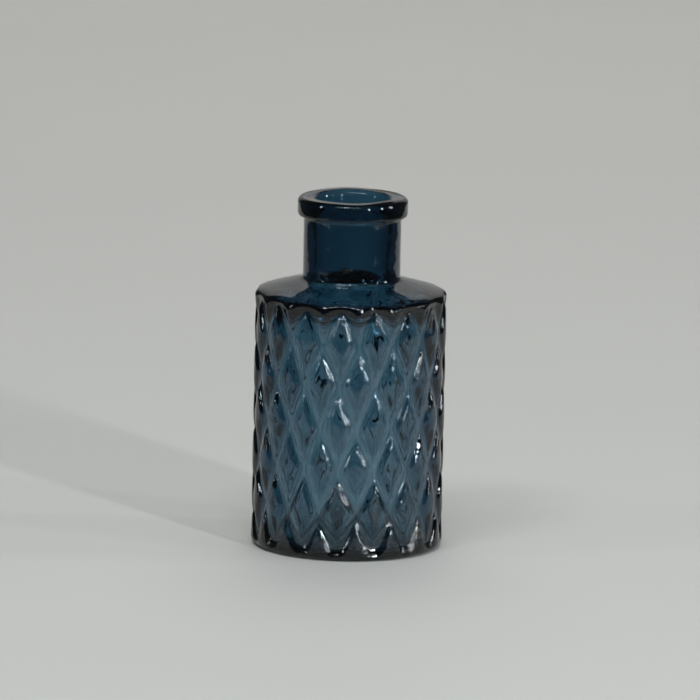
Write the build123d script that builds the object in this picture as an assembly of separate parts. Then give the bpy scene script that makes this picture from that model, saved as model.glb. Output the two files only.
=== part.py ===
from build123d import *
import os
from math import cos, pi, radians, sin, tan

# A mould-blown glass bud vase: a straight-sided round body with a net of diamond pads, a flat
# conical shoulder, a short straight neck and a thick rounded lip. The real vase is one piece of
# glass, so it is cut here into the zones that a glass works names. Neighbours meet face to face.
# Millimetres. The foot stands on z = 0 and the vase's axis is Z.

# Driving dimensions
BODY_R = 35.0
NECK_R = 17.7
LIP_R = 20.05
TOTAL_H = 128.2
SHOULDER_EDGE_Z = 93.5      # where the body's side and the shoulder's cone would meet
SHOULDER_SLOPE = 15.7       # degrees above the horizontal
LIP_BOTTOM_Z = 121.0
WALL = 3.6
NECK_WALL = 4.6
CHAMBER_TOP_Z = 95.3        # where the chamber's roof meets the bore
CHAMBER_RIM_Z = 90.2        # where the roof meets the side
FLOOR_RIM_Z = 2.4           # the chamber's floor is a low cone
FLOOR_MIDDLE_Z = 3.6

# Rounded edges
HEEL_ROUND = 3.0
FOOT_INNER_ROUND = 0.8
SHOULDER_ROUND = 2.4
NECK_ROOT_ROUND = 1.6
LIP_ROOT_ROUND = 0.5
LIP_BOTTOM_ROUND = 1.5
LIP_TOP_ROUND = 1.9
MOUTH_ROUND = 2.4
BORE_END_ROUND = 7.0
CHAMBER_TOP_ROUND = 8.0
FLOOR_ROUND = 3.0

# Foot and push-up
FOOT_INNER_R = 25.5
PUSH_UP = 1.6

# Diamond pads: columns alternate, so every other column is half a diamond lower
COLUMNS = 16
ROW_STEP = 15.5             # half of a diamond's height
TOP_NODE_Z = 94.5           # corners of the first row of diamonds
ROWS = 6
PAD_HEIGHT = 0.8            # how far a pad stands above the net between the pads
NET_WIDTH = 2.4
PAD_DRAFT = 55.0            # degrees

# Where one zone ends and the next begins
HEEL_TOP_Z = 10.0
BASE_R = 27.0
BODY_TOP_Z = SHOULDER_EDGE_Z - SHOULDER_ROUND
NECK_BOTTOM_Z = 101.0

BORE_R = NECK_R - NECK_WALL
INNER_R = BODY_R - WALL
NET_R = BODY_R - PAD_HEIGHT
MARGIN = 1.0                # how far cutting tools reach past the glass


def shoulder_z(r):
    """Height of the shoulder's outer cone at radius r."""
    return SHOULDER_EDGE_Z + (BODY_R - r) * tan(radians(SHOULDER_SLOPE))


def spun(points_and_rounds):
    """Turn a closed outline about the axis: corners as (radius, height, rounding)."""
    points = [(r, 0, z) for r, z, _ in points_and_rounds]
    rounds = [rounding for _, _, rounding in points_and_rounds]
    outline = FilletPolyline(*points, radius=rounds, close=True)
    return revolve(make_face(outline.edges()), axis=Axis.Z)


def plain_bottle():
    """The whole vase with a smooth side, as one turned wall."""
    return spun([
        (0, PUSH_UP, 0),
        (FOOT_INNER_R - 2 * PUSH_UP, PUSH_UP, FOOT_INNER_ROUND),
        (FOOT_INNER_R, 0, FOOT_INNER_ROUND),
        (BODY_R, 0, HEEL_ROUND),
        (BODY_R, SHOULDER_EDGE_Z, SHOULDER_ROUND),
        (NECK_R, shoulder_z(NECK_R), NECK_ROOT_ROUND),
        (NECK_R, LIP_BOTTOM_Z, LIP_ROOT_ROUND),
        (LIP_R, LIP_BOTTOM_Z, LIP_BOTTOM_ROUND),
        (LIP_R, TOTAL_H, LIP_TOP_ROUND),
        (BORE_R, TOTAL_H, MOUTH_ROUND),
        (BORE_R, CHAMBER_TOP_Z, BORE_END_ROUND),
        (INNER_R, CHAMBER_RIM_Z, CHAMBER_TOP_ROUND),
        (INNER_R, FLOOR_RIM_Z, FLOOR_ROUND),
        (0, FLOOR_MIDDLE_Z, 0),
    ])


def ring(outer_r, inner_r, bottom_z, top_z):
    """A plain round tube between two heights."""
    height = top_z - bottom_z
    centre_z = (bottom_z + top_z) / 2
    tube = Cylinder(outer_r, height) - Cylinder(inner_r, height + 2 * MARGIN)
    return Pos(0, 0, centre_z) * tube


def pad():
    """One drafted diamond, standing out from the body on the +X side at z = 0."""
    half_width = BODY_R * sin(pi / COLUMNS)
    half_height = ROW_STEP
    edge_distance = half_width * half_height / (half_width**2 + half_height**2) ** 0.5
    inset = 1 - NET_WIDTH / 2 / edge_distance
    foot_x = NET_R * cos(pi / COLUMNS)
    diamond = Polygon(
        (half_width * inset, 0), (0, half_height * inset),
        (-half_width * inset, 0), (0, -half_height * inset), align=None,
    )
    face = Plane(origin=(foot_x, 0, 0), x_dir=(0, 1, 0), z_dir=(1, 0, 0)) * diamond
    return extrude(face, amount=BODY_R + MARGIN - foot_x, taper=PAD_DRAFT)


def pads():
    """All the diamonds that lie between the shoulder and the heel."""
    one = pad()
    pitch = 360 / COLUMNS
    placed = []
    for row in range(ROWS + 1):
        centre_z = TOP_NODE_Z - row * ROW_STEP
        first = 0 if row % 2 else pitch / 2
        placed += [Rot(0, 0, first + column * pitch) * Pos(0, 0, centre_z) * one
                   for column in range(COLUMNS)]
    return placed


def bottle():
    """The vase with the net between the diamonds sunk into its side."""
    net = ring(BODY_R + MARGIN, NET_R, HEEL_ROUND, BODY_TOP_Z) - pads()
    return plain_bottle() - net


def slab(bottom_z, top_z):
    """Everything between two heights."""
    return Pos(0, 0, (bottom_z + top_z) / 2) * Cylinder(BODY_R + MARGIN, top_z - bottom_z)


def zones():
    """Cut the vase into its named zones, from the top down."""
    glass = bottle()
    core = Cylinder(BASE_R, 2 * HEEL_TOP_Z)
    heel_slab = slab(-MARGIN, HEEL_TOP_Z)
    return {
        "lip_ring": glass & slab(LIP_BOTTOM_Z, TOTAL_H + MARGIN),
        "neck_tube": glass & slab(NECK_BOTTOM_Z, LIP_BOTTOM_Z),
        "shoulder": glass & slab(BODY_TOP_Z, NECK_BOTTOM_Z),
        "body_wall": glass & slab(HEEL_TOP_Z, BODY_TOP_Z),
        "heel_ring": glass & (heel_slab - core),
        "base_disc": glass & (heel_slab & core),
    }


os.makedirs("parts", exist_ok=True)
for node, solid in zones().items():
    export_step(solid, f"parts/{node}.step")
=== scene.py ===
import bmesh
import bpy
import numpy as np
from math import cos, pi, radians, sin, tan
from mathutils import Matrix, Vector


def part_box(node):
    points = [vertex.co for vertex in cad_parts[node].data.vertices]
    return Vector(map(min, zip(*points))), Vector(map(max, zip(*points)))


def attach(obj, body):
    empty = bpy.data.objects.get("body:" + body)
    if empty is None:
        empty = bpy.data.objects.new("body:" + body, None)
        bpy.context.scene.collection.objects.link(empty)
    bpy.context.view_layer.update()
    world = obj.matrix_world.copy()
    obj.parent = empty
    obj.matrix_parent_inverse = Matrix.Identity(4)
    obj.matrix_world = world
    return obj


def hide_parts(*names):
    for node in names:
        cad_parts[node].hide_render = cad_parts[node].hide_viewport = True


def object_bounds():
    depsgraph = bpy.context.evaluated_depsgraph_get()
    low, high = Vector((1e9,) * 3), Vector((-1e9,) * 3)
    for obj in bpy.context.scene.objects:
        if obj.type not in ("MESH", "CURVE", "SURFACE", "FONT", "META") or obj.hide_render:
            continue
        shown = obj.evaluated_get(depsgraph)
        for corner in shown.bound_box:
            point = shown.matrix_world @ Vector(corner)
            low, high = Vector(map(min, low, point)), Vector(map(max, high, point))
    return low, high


# A dark blue mould-blown glass bud vase. The glass is one closed mesh: a turned outline whose
# straight side carries a net of diamonds. The vase's sizes are in millimetres, and they become
# metres when a mesh is made. The stage's sizes are in metres.

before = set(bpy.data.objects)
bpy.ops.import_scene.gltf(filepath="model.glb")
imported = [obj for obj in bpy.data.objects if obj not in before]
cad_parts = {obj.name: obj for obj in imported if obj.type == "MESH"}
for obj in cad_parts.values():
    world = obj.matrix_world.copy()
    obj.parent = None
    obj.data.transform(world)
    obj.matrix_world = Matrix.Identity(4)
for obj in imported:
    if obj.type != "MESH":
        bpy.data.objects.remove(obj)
cad_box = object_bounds()
MM = 0.001

# ---------------------------------------------------------------- sizes, in millimetres
CAD_HIGH = cad_box[1]
BODY_R = CAD_HIGH.x / MM
TOTAL_H = CAD_HIGH.z / MM
LIP_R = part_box("lip_ring")[1].x / MM
LIP_BOTTOM_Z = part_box("lip_ring")[0].z / MM
NECK_R = 17.7
BORE_R = 13.1
WALL = 3.6
INNER_R = BODY_R - WALL
SHOULDER_EDGE_Z = 93.5      # where the side and the shoulder's cone would meet
SHOULDER_SLOPE = radians(15.7)
CHAMBER_TOP_Z = 95.3        # at the bore; the chamber's roof falls to its rim
CHAMBER_RIM_Z = 90.2
FLOOR_RIM_Z = 2.4           # the chamber's floor is a low cone
FLOOR_MIDDLE_Z = 3.6
FOOT_INNER_R = 25.5
PUSH_UP = 1.6

# Rounded edges
PUSH_UP_ROUND = 2.0
FOOT_INNER_ROUND = 0.8
HEEL_ROUND = 3.0
SHOULDER_ROUND = 2.4
NECK_ROOT_ROUND = 1.6
LIP_ROOT_ROUND = 0.7
LIP_BOTTOM_ROUND = 1.5
LIP_TOP_ROUND = 1.9
MOUTH_ROUND = 2.4
BORE_END_ROUND = 7.0
CHAMBER_TOP_ROUND = 8.0
FLOOR_ROUND = 3.0
ARC_STEP = radians(3)       # turn between neighbouring points of a rounded edge

# The diamonds: columns alternate, every other one half a diamond lower
COLUMNS = 16
PITCH = 2 * pi / COLUMNS
ROW_STEP = 15.5             # half of a diamond's height
ROWS = 6
TOP_NODE = 94.8             # height along the side, measured round the shoulder's corner
BOTTOM_NODE = TOP_NODE - ROWS * ROW_STEP
EDGE_STEP = 1.00            # how far a diamond's edge stands above the net round it
NET_FLAT = 0.7              # half-width of the net's flat floor
NET_EDGE = 2.7              # where the step up to a diamond ends, on its upper edges
LOWER_EDGE = 4.4            # and on its lower edges, which the mould leaves softer
CROWN = 0.55                # how far a diamond then rises to its middle
CREASE = 0.9                # rounding of the ridges between a diamond's four faces
NODE_DIP = 0.30             # depth of the dimple where the net's lines cross
NODE_POWER = 2              # a higher power makes the dimple narrower
INNER_RELIEF = 0.18         # the blown inside follows the mould softly
PATTERN_MARGIN = 1.0        # the pattern is worked out this far past its end nodes
TOP_FADE = (0.5, -4.5)      # heights from the top nodes between which the pattern grows
BOTTOM_FADE = (-1.0, 3.0)   # the same about the bottom nodes

# Distance between neighbouring parallel lines of the net
HALF_WIDTH = BODY_R * PITCH / 2
LINE_SPACING = 2 * HALF_WIDTH * ROW_STEP / (HALF_WIDTH**2 + ROW_STEP**2) ** 0.5

# Unevenness, as waves of (size, waves round the vase, radians per millimetre up, start)
CUTTING_ALONG = [(0.25, 3, 0.11, 0.4), (0.22, 7, -0.23, 0)]
CUTTING_UP = [(0.30, 5, 0.17, 1.9), (0.20, 11, 0.07, 0)]
BLOWN_INSIDE = [(0.16, 2, 0.021, 0.9), (0.10, 3, 0.034, -1.7), (0.06, 5, 0.071, 2.2)]

# The seed: a bit of unmelted stone in the neck's wall
SEED_AZIMUTH = radians(-90.7)
SEED_R = 16.7
SEED_Z = 103.9
SEED_HALF_LENGTH = 2.2
SEED_HALF_HEIGHT = 0.95
SEED_HALF_DEPTH = 0.45
SEED_RINGS = 10
SEED_AROUND = 20

# Places of the mesh lines across half a diamond, closest together at its sloping edge
HALF_STEPS = [0, 0.03, 0.06, 0.09, 0.125, 0.165, 0.21, 0.27, 0.34, 0.42, 0.5]
STEPS = HALF_STEPS + [1 - t for t in HALF_STEPS[-2::-1]]
COARSE_STEPS = STEPS[::2]   # for the bore and the chamber

# Places of the mesh's rings along the outline
LONGEST_STEP = 2.4          # a longer gap is divided
THINNED_STEP = 1.7          # a shorter gap is kept only where the outline bends enough
THINNED_BEND = radians(8)
SIDE_GAP = 0.3              # between the patterned side and the first ring beyond it
AXIS_GAP = 0.5              # no ring is nearer to the axis, where a fan closes the mesh
COARSE_DEPTH = 6.0          # how far down the bore the coarse steps start
COARSE_STEP = 1.0           # length in which the fine rings become coarse ones

LONG_RUN = 20.0             # the upright runs at the body, the bore and the chamber are longer
TOLERANCE = 0.01
NORMAL_REACH = 0.02         # the outline's direction is measured this far each way
KEY_SCALE = 100000          # points nearer than this fraction of a column count as one


# ---------------------------------------------------------------- outline
def rounded(corners):
    """Points along an open outline of (radius, height, rounding) corners."""
    points = [np.array(corners[0][:2])]
    for before, corner, after in zip(corners, corners[1:], corners[2:]):
        here = np.array(corner[:2])
        towards = np.array(before[:2]) - here
        onwards = np.array(after[:2]) - here
        towards /= np.linalg.norm(towards)
        onwards /= np.linalg.norm(onwards)
        half_angle = np.arccos(np.clip(towards @ onwards, -1, 1)) / 2
        tangent = corner[2] / tan(half_angle)
        middle = (towards + onwards) / np.linalg.norm(towards + onwards)
        centre = here + middle * corner[2] / sin(half_angle)
        first = here + towards * tangent - centre
        sweep = pi - 2 * half_angle
        side = np.sign(towards[1] * onwards[0] - towards[0] * onwards[1])
        count = max(2, int(np.ceil(sweep / ARC_STEP)))
        for k in range(count + 1):
            angle = side * sweep * k / count
            points.append(centre + np.array([
                first[0] * cos(angle) - first[1] * sin(angle),
                first[0] * sin(angle) + first[1] * cos(angle),
            ]))
    points.append(np.array(corners[-1][:2]))
    return np.array(points)


def shoulder_z(r):
    """Height of the shoulder's outer cone at radius r."""
    return SHOULDER_EDGE_Z + (BODY_R - r) * tan(SHOULDER_SLOPE)


# From the middle of the foot, up the outside, over the lip and down to the chamber's floor
OUTLINE = rounded([
    (0, PUSH_UP, 0),
    (FOOT_INNER_R - 2 * PUSH_UP, PUSH_UP, PUSH_UP_ROUND),
    (FOOT_INNER_R, 0, FOOT_INNER_ROUND),
    (BODY_R, 0, HEEL_ROUND),
    (BODY_R, SHOULDER_EDGE_Z, SHOULDER_ROUND),
    (NECK_R, shoulder_z(NECK_R), NECK_ROOT_ROUND),
    (NECK_R, LIP_BOTTOM_Z, LIP_ROOT_ROUND),
    (LIP_R, LIP_BOTTOM_Z, LIP_BOTTOM_ROUND),
    (LIP_R, TOTAL_H, LIP_TOP_ROUND),
    (BORE_R, TOTAL_H, MOUTH_ROUND),
    (BORE_R, CHAMBER_TOP_Z, BORE_END_ROUND),
    (INNER_R, CHAMBER_RIM_Z, CHAMBER_TOP_ROUND),
    (INNER_R, FLOOR_RIM_Z, FLOOR_ROUND),
    (0, FLOOR_MIDDLE_Z, 0),
])
SPANS = np.linalg.norm(np.diff(OUTLINE, axis=0), axis=1)
LENGTHS = np.concatenate([[0], np.cumsum(SPANS)])


def upright_run(radius):
    """Length and height at which the outline's long upright run at this radius starts."""
    k = next(k for k, span in enumerate(SPANS)
             if span > LONG_RUN and abs(OUTLINE[k][0] - radius) < TOLERANCE)
    return LENGTHS[k], OUTLINE[k][1]


# Lengths at which the straight outer side and the straight inner side would reach z = 0
side_start, side_start_z = upright_run(BODY_R)
OUTER_ZERO = side_start - side_start_z
chamber_start, chamber_start_z = upright_run(INNER_R)
INNER_ZERO = chamber_start + chamber_start_z


def point_at(length):
    """Radius and height at a length along the outline."""
    return np.interp(length, LENGTHS, OUTLINE[:, 0]), np.interp(length, LENGTHS, OUTLINE[:, 1])


def at(length):
    """Radius, height and the outward normal at a length along the outline."""
    r, z = point_at(length)
    ahead_r, ahead_z = point_at(length + NORMAL_REACH)
    behind_r, behind_z = point_at(length - NORMAL_REACH)
    dr = ahead_r - behind_r
    dz = ahead_z - behind_z
    size = np.hypot(dr, dz)
    return r, z, dz / size, -dr / size


def stations(start, end):
    """Lengths along the outline between two lengths: close on its arcs, wider on its lines."""
    picked = []
    last = start
    for length in [*LENGTHS[(LENGTHS > start) & (LENGTHS < end)], end]:
        gap = length - last
        extra = int(gap // LONGEST_STEP)
        picked += [last + gap * (m + 1) / (extra + 1) for m in range(extra)]
        picked.append(length)
        last = length
    kept = [picked[0]]
    for length in picked[1:-1]:
        before = at(kept[-1])
        here = at(length)
        bend = np.arccos(np.clip(before[2] * here[2] + before[3] * here[3], -1, 1))
        if bend > THINNED_BEND or length - kept[-1] > THINNED_STEP:
            kept.append(length)
    return kept


# ---------------------------------------------------------------- pattern
def smooth(low, high, x):
    """Smooth rise from 0 at low to 1 at high."""
    t = np.clip((x - low) / (high - low), 0, 1)
    return t * t * (3 - 2 * t)


def crest(line):
    """1 on a net line and 0 halfway to the next, at a place measured in net lines."""
    return 0.5 + 0.5 * cos(2 * pi * line)


def waves(terms, angle, height):
    """A sum of slow waves round and up the vase, in millimetres."""
    return sum(size * sin(turns * angle + pitch * height + start)
               for size, turns, pitch, start in terms)


def wander(column, side_height):
    """The mould's cutting is a little uneven: where a point of the pattern really lies."""
    angle = column * PITCH
    along = waves(CUTTING_ALONG, angle, side_height)
    return column + along / (BODY_R * PITCH), side_height + waves(CUTTING_UP, angle, side_height)


def edge_step(line):
    """Rise from the net, at a place measured in net lines, to the diamond beside it."""
    past = line - np.floor(line)
    upper = smooth(NET_FLAT, NET_EDGE, past * LINE_SPACING)
    return upper * smooth(NET_FLAT, LOWER_EDGE, (1 - past) * LINE_SPACING)


def diamonds(column, side_height):
    """Depth of the pattern below the diamonds' middles, and the same for the soft inside."""
    down = (TOP_NODE - side_height) / (2 * ROW_STEP)
    one = column + down
    other = down - column
    one_gap = np.abs(one - np.round(one)) * LINE_SPACING
    other_gap = np.abs(other - np.round(other)) * LINE_SPACING
    spread = np.hypot(one_gap - other_gap, CREASE)
    share = min(one_gap, other_gap) / (LINE_SPACING / 2)
    gap = (one_gap + other_gap - spread + CREASE * (1 - share)) / 2
    rise = min(1.0, max(0.0, gap) / (LINE_SPACING / 2))
    step = edge_step(one) * edge_step(other)
    node = (crest(one) * crest(other)) ** NODE_POWER
    fade = smooth(TOP_NODE + TOP_FADE[0], TOP_NODE + TOP_FADE[1], side_height)
    fade *= smooth(BOTTOM_NODE + BOTTOM_FADE[0], BOTTOM_NODE + BOTTOM_FADE[1], side_height)
    depth = EDGE_STEP * (1 - step) + CROWN * (1 - rise) + NODE_DIP * node
    return depth * fade, INNER_RELIEF * (crest(one) + crest(other)) * fade


# ---------------------------------------------------------------- the glass
def around(steps):
    """Column positions all round the vase, with the mesh's steps in each column."""
    return [column + t for column in range(COLUMNS) for t in steps[:-1]]


class Glass:
    """Collects the vertices and faces of the vase."""

    def __init__(self):
        self.verts = []
        self.faces = []

    def add(self, column, length, outside):
        """A point on the outline, turned to a column position, with the pattern on it."""
        r, z, nr, nz = at(length)
        side_height = length - OUTER_ZERO if outside else INNER_ZERO - length
        angle = column * PITCH
        push = 0.0
        if BOTTOM_NODE - PATTERN_MARGIN < side_height < TOP_NODE + PATTERN_MARGIN:
            depth, inner_depth = diamonds(*wander(column, side_height))
            push = -depth if outside else inner_depth
        if not outside:
            push += waves(BLOWN_INSIDE, angle, z) * min(1.0, r / BORE_R)
        r += nr * push
        z += nz * push
        self.verts.append((r * cos(angle) * MM, r * sin(angle) * MM, z * MM))
        return len(self.verts) - 1

    def ring(self, steps, length, outside):
        """A ring of points at one length along the outline."""
        return [self.add(column, length, outside) for column in around(steps)]

    def bridge(self, a, b):
        """Joins two rings of the same number of points."""
        n = len(a)
        for k in range(n):
            self.faces.append((a[k], a[(k + 1) % n], b[(k + 1) % n], b[k]))

    def bridge_to_half(self, a, b):
        """Joins a ring to one with half as many points."""
        n = len(b)
        for k in range(n):
            a0, a1, a2 = a[2 * k], a[2 * k + 1], a[(2 * k + 2) % len(a)]
            b0, b1 = b[k], b[(k + 1) % n]
            self.faces += [(a0, a1, b0), (a1, b1, b0), (a1, a2, b1)]

    def cap(self, ring, length, outside):
        """Closes a ring with a fan about the axis."""
        centre = self.add(0, length, outside)
        for k in range(len(ring)):
            self.faces.append((ring[k], ring[(k + 1) % len(ring)], centre))

    def side(self, steps, zero, direction, outside):
        """The patterned side: a mesh whose lines follow the net. Returns its top and bottom rings."""
        n = len(steps) - 1
        found = {}

        def point(column, down):
            """The vertex at a column position, this many rows below the top nodes."""
            turn = column % COLUMNS
            key = (round(turn * KEY_SCALE) % (COLUMNS * KEY_SCALE), round(down * KEY_SCALE))
            if key not in found:
                height = TOP_NODE - down * ROW_STEP
                found[key] = self.add(turn, zero + direction * height, outside)
            return found[key]

        def corner(column, row, i, j):
            """The vertex i steps along one edge of a diamond and j steps along the other."""
            return point(column + (steps[i] - steps[j]) / 2, row + steps[i] + steps[j])

        def shows(row, i, j):
            """Whether a corner lies between the top nodes and the bottom nodes."""
            if row == -1:
                return i + j >= n
            return row < ROWS - 1 or i + j <= n

        for row in range(-1, ROWS):
            offset = 0.5 if row % 2 else 0.0
            for column in range(COLUMNS):
                for i in range(n):
                    for j in range(n):
                        quad = [(i, j), (i, j + 1), (i + 1, j + 1), (i + 1, j)]
                        kept = [place for place in quad if shows(row, *place)]
                        if len(kept) > 2:
                            self.faces.append(tuple(corner(column + offset, row, *p) for p in kept))
        return [point(p, 0) for p in around(steps)], [point(p, ROWS) for p in around(steps)]


def glass_mesh():
    """The closed mesh: the patterned side, the foot below it, then the shoulder to the floor."""
    glass = Glass()
    full_length = LENGTHS[-1]
    outer_bottom = OUTER_ZERO + BOTTOM_NODE
    outer_top = OUTER_ZERO + TOP_NODE
    inner_top = INNER_ZERO - TOP_NODE
    inner_bottom = INNER_ZERO - BOTTOM_NODE
    lip_top = LENGTHS[np.argmax(OUTLINE[:, 1] > TOTAL_H - TOLERANCE)]
    change = upright_run(BORE_R)[0] + COARSE_DEPTH

    ring, bottom = glass.side(STEPS, OUTER_ZERO, 1, True)
    for length in reversed(stations(AXIS_GAP, outer_bottom - SIDE_GAP)):
        lower = glass.ring(STEPS, length, True)
        glass.bridge(bottom, lower)
        bottom = lower
    glass.cap(bottom, 0.0, True)

    for length in stations(outer_top + SIDE_GAP, change):
        upper = glass.ring(STEPS, length, length < lip_top)
        glass.bridge(ring, upper)
        ring = upper
    half = glass.ring(COARSE_STEPS, change + COARSE_STEP, False)
    glass.bridge_to_half(ring, half)
    ring = half
    for length in stations(change + 2 * COARSE_STEP, inner_top - SIDE_GAP):
        lower = glass.ring(COARSE_STEPS, length, False)
        glass.bridge(ring, lower)
        ring = lower
    inner, floor = glass.side(COARSE_STEPS, INNER_ZERO, -1, False)
    glass.bridge(ring, inner)
    for length in stations(inner_bottom + SIDE_GAP, full_length - AXIS_GAP):
        lower = glass.ring(COARSE_STEPS, length, False)
        glass.bridge(floor, lower)
        floor = lower
    glass.cap(floor, full_length, False)
    return glass


# ---------------------------------------------------------------- materials
GLASS_IOR = 1.5
GLASS_TINT = (0.303, 0.539, 0.636, 1)
GLASS_DENSITY = 730
FLOOR_COLOUR = (0.50, 0.49, 0.46)
WALL_COLOUR = (0.52, 0.51, 0.485)
FLOOR_ROUGHNESS = 0.6
WALL_ROUGHNESS = 0.7
STAGE_SHADE = 0.96          # the darker of a stage surface's two tones
SEED_DARK = (0.004, 0.004, 0.002, 1)
SEED_LIGHT = (0.015, 0.015, 0.008, 1)


def new_material(name):
    """A material with its node tree and its shader."""
    material = bpy.data.materials.new(name)
    material.use_nodes = True
    tree = material.node_tree
    return material, tree, tree.nodes["Principled BSDF"]


def noise(tree, scale, detail):
    """Noise in the object's own space."""
    place = tree.nodes.new("ShaderNodeTexCoord").outputs["Object"]
    node = tree.nodes.new("ShaderNodeTexNoise")
    node.inputs["Scale"].default_value = scale
    node.inputs["Detail"].default_value = detail
    tree.links.new(place, node.inputs["Vector"])
    return node.outputs["Fac"]


def mottled(tree, shader, scale, dark, light):
    """A base colour that drifts between two tones."""
    ramp = tree.nodes.new("ShaderNodeValToRGB")
    ramp.color_ramp.elements[0].color = dark
    ramp.color_ramp.elements[1].color = light
    tree.links.new(noise(tree, scale, 3), ramp.inputs["Fac"])
    tree.links.new(ramp.outputs["Color"], shader.inputs["Base Color"])


def glass_material():
    """Dark blue blown glass: tinted by depth, faintly rippled, with a few dull finger marks."""
    material, tree, shader = new_material("blue_glass")
    shader.inputs["Base Color"].default_value = (1, 1, 1, 1)
    shader.inputs["Transmission Weight"].default_value = 1.0
    shader.inputs["IOR"].default_value = GLASS_IOR

    marks = tree.nodes.new("ShaderNodeMapRange")
    marks.inputs["From Min"].default_value = 0.45
    marks.inputs["From Max"].default_value = 0.75
    marks.inputs["To Min"].default_value = 0.0
    marks.inputs["To Max"].default_value = 0.06
    tree.links.new(noise(tree, 60, 4), marks.inputs["Value"])
    tree.links.new(marks.outputs["Result"], shader.inputs["Roughness"])

    ripple = tree.nodes.new("ShaderNodeBump")
    ripple.inputs["Strength"].default_value = 0.25
    ripple.inputs["Distance"].default_value = 0.0006
    tree.links.new(noise(tree, 130, 2), ripple.inputs["Height"])
    tree.links.new(ripple.outputs["Normal"], shader.inputs["Normal"])

    tint = tree.nodes.new("ShaderNodeVolumeAbsorption")
    tint.inputs["Color"].default_value = GLASS_TINT
    tint.inputs["Density"].default_value = GLASS_DENSITY
    tree.links.new(tint.outputs["Volume"], tree.nodes["Material Output"].inputs["Volume"])
    return material


def seed_material():
    """Dark olive stone with a fine grain."""
    material, tree, shader = new_material("olive_seed")
    mottled(tree, shader, 900, SEED_DARK, SEED_LIGHT)
    shader.inputs["Roughness"].default_value = 0.5
    return material


def stage_material(name, colour, roughness):
    """A matt surface with a trace of unevenness."""
    material, tree, shader = new_material(name)
    mottled(tree, shader, 6, (*[c * STAGE_SHADE for c in colour], 1), (*colour, 1))
    shader.inputs["Roughness"].default_value = roughness
    return material


# ---------------------------------------------------------------- pieces
def mesh_object(name, verts, faces, material):
    """A smooth-shaded mesh with one material."""
    mesh = bpy.data.meshes.new(name)
    mesh.from_pydata(verts, [], faces)
    mesh.validate()
    mesh.polygons.foreach_set("use_smooth", [True] * len(mesh.polygons))
    mesh.materials.append(material)
    obj = bpy.data.objects.new(name, mesh)
    bpy.context.scene.collection.objects.link(obj)
    return obj


def make_vase():
    """The whole vase in one closed mesh, so that no cut face shows inside the glass."""
    glass = glass_mesh()
    vase = mesh_object("vase_glass", glass.verts, glass.faces, glass_material())
    work = bmesh.new()
    work.from_mesh(vase.data)
    bmesh.ops.recalc_face_normals(work, faces=work.faces)
    work.to_mesh(vase.data)
    work.free()
    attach(vase, "root")
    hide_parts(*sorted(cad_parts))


def seed_shape():
    """A small lumpy lens along X, pointed at its ends."""
    verts = [(-SEED_HALF_LENGTH, 0, 0)]
    faces = []
    for k in range(1, SEED_RINGS):
        t = -cos(pi * k / SEED_RINGS)
        swell = (1 - t * t) ** 0.8 * (1 + 0.12 * sin(4 * t + 1))
        for m in range(SEED_AROUND):
            a = 2 * pi * m / SEED_AROUND
            lump = 1 + 0.10 * sin(3 * a + 2 * t)
            verts.append((t * SEED_HALF_LENGTH, SEED_HALF_DEPTH * swell * lump * cos(a),
                          SEED_HALF_HEIGHT * swell * lump * sin(a)))
    verts.append((SEED_HALF_LENGTH, 0, 0))
    last = len(verts) - 1
    for m in range(SEED_AROUND):
        n = (m + 1) % SEED_AROUND
        faces.append((0, 1 + n, 1 + m))
        faces.append((last, last - SEED_AROUND + m, last - SEED_AROUND + n))
        for k in range(SEED_RINGS - 2):
            row = 1 + k * SEED_AROUND
            faces.append((row + m, row + n, row + SEED_AROUND + n, row + SEED_AROUND + m))
    return verts, faces


def make_seed():
    """The dark olive seed, lying level in the front of the neck's wall."""
    verts, faces = seed_shape()
    turn = Matrix.Rotation(SEED_AZIMUTH + pi / 2, 3, "Z")
    place = Vector((cos(SEED_AZIMUTH) * SEED_R, sin(SEED_AZIMUTH) * SEED_R, SEED_Z))
    placed = [(turn @ Vector(v) + place) * MM for v in verts]
    seed = mesh_object("neck_seed", placed, faces, seed_material())
    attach(seed, "root")


# ---------------------------------------------------------------- stage, in metres
VIEW_AZIMUTH = radians(6)   # the camera stands this far round from -Y, towards +X
VIEW_ELEVATION = radians(10.8)
VIEW_ROLL = radians(1.17)
VIEW_DISTANCE = 3.0
VIEW_LENS = 424.6           # millimetres
AIM_Z = 0.0715

FLOOR_WIDTH = 1.0
FLOOR_FRONT = 0.32          # short in front, so that the upper glass mirrors the dark room
FLOOR_BACK = 2.4
BACKDROP_WIDTH = 3.0
BACKDROP_HEIGHT = 1.6

# Windows round the camera: azimuth and elevation in degrees, width and height, brightness
WINDOWS = [
    (-70, 14, 0.12, 0.8, 14),
    (-32, 51, 0.50, 0.20, 24),
    (0, 55, 0.60, 0.18, 22),
    (34, 13, 0.08, 0.9, 95),
    (64, 14, 0.10, 0.8, 26),
    (89, 16, 0.12, 0.8, 22),
]
WINDOW_DISTANCE = 1.8
WINDOW_COLOUR = (0.90, 0.96, 1)
VASE_MIDDLE = Vector((0, 0, 0.06))

# Fills: name, distance behind the vase, watts
FILLS = [("fill_near", -0.3, 8), ("fill_far", 1.5, 24)]
FILL_SIZE = 1.8
FILL_HEIGHT = 1.8
FILL_LEAN = 0.3             # a fill aims this far behind the place under it

ROOM_COLOUR = (0.75, 0.90, 1.0, 1)
ROOM_STRENGTH = 0.07
GROUND_COLOUR = (0.95, 0.96, 0.93, 1)
GROUND_STRENGTH = 0.5

forward = Vector((-sin(VIEW_AZIMUTH), cos(VIEW_AZIMUTH), 0))
right = Vector((cos(VIEW_AZIMUTH), sin(VIEW_AZIMUTH), 0))
up = Vector((0, 0, 1))


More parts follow.
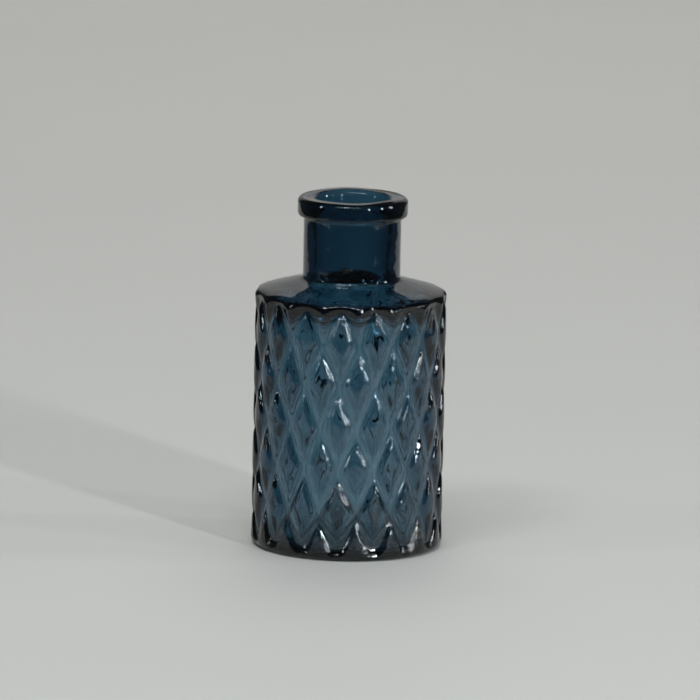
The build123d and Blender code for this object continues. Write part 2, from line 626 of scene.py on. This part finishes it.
def stage_panel(name, centre, across, along, size, material):
    """A flat rectangle of the stage."""
    corners = [(-1, -1), (1, -1), (1, 1), (-1, 1)]
    verts = [centre + across * (a * size[0] / 2) + along * (b * size[1] / 2) for a, b in corners]
    mesh_object(name, verts, [(0, 1, 2, 3)], material)


def make_stage():
    """A pale floor under the vase and a pale backdrop well behind it."""
    floor = stage_material("pale_floor", FLOOR_COLOUR, FLOOR_ROUGHNESS)
    wall = stage_material("pale_wall", WALL_COLOUR, WALL_ROUGHNESS)
    depth = FLOOR_BACK + FLOOR_FRONT
    middle = forward * (FLOOR_BACK - depth / 2)
    stage_panel("floor", middle, right, forward, (FLOOR_WIDTH, depth), floor)
    middle = forward * FLOOR_BACK + up * BACKDROP_HEIGHT / 2
    stage_panel("backdrop", middle, right, up, (BACKDROP_WIDTH, BACKDROP_HEIGHT), wall)


def place_light(light, place, target):
    """Puts a light in the scene, facing a target."""
    light.location = place
    light.rotation_euler = (target - place).to_track_quat("-Z", "Y").to_euler()
    bpy.context.scene.collection.objects.link(light)


def make_windows():
    """Bright narrow windows, which the glass mirrors as its highlights."""
    for k, (azimuth, elevation, width, height, brightness) in enumerate(WINDOWS):
        a = radians(azimuth)
        e = radians(elevation)
        towards = (right * sin(a) - forward * cos(a)) * cos(e) + up * sin(e)
        data = bpy.data.lights.new(f"window_{k}", "AREA")
        data.shape = "RECTANGLE"
        data.size = width
        data.size_y = height
        data.energy = brightness * pi * width * height
        data.color = WINDOW_COLOUR
        window = bpy.data.objects.new(data.name, data)
        place_light(window, VASE_MIDDLE + towards * WINDOW_DISTANCE, VASE_MIDDLE)


def make_fills():
    """Wide soft lights over the stage, near and far, which the glass doesn't mirror."""
    for name, behind, watts in FILLS:
        data = bpy.data.lights.new(name, "AREA")
        data.shape = "SQUARE"
        data.size = FILL_SIZE
        data.energy = watts
        fill = bpy.data.objects.new(name, data)
        place_light(fill, forward * behind + up * FILL_HEIGHT, forward * (behind + FILL_LEAN))
        fill.visible_glossy = False
        fill.visible_transmission = False
        fill.visible_camera = False


def make_world():
    """A dim room, which the camera itself sees as a pale ground where the stage ends."""
    world = bpy.data.worlds.new("room")
    world.use_nodes = True
    nodes = world.node_tree.nodes
    links = world.node_tree.links
    room = nodes["Background"]
    room.inputs["Color"].default_value = ROOM_COLOUR
    room.inputs["Strength"].default_value = ROOM_STRENGTH
    ground = nodes.new("ShaderNodeBackground")
    ground.inputs["Color"].default_value = GROUND_COLOUR
    ground.inputs["Strength"].default_value = GROUND_STRENGTH
    mix = nodes.new("ShaderNodeMixShader")
    links.new(nodes.new("ShaderNodeLightPath").outputs["Is Camera Ray"], mix.inputs["Fac"])
    links.new(room.outputs["Background"], mix.inputs[1])
    links.new(ground.outputs["Background"], mix.inputs[2])
    links.new(mix.outputs["Shader"], nodes["World Output"].inputs["Surface"])
    bpy.context.scene.world = world


def make_camera():
    """A long lens, slightly above the vase and a little to its right."""
    data = bpy.data.cameras.new("camera")
    data.sensor_width = 36
    data.lens = VIEW_LENS
    data.clip_end = 50
    camera = bpy.data.objects.new("camera", data)
    back = -forward * cos(VIEW_ELEVATION) + up * sin(VIEW_ELEVATION)
    place = Matrix.Translation(up * AIM_Z + back * VIEW_DISTANCE)
    turn = (-back).to_track_quat("-Z", "Y").to_matrix().to_4x4()
    camera.matrix_world = place @ turn @ Matrix.Rotation(VIEW_ROLL, 4, "Z")
    bpy.context.scene.collection.objects.link(camera)
    bpy.context.scene.camera = camera


make_vase()
make_seed()
make_stage()
make_windows()
make_fills()
make_world()
make_camera()
bpy.context.scene.view_settings.view_transform = "Standard"
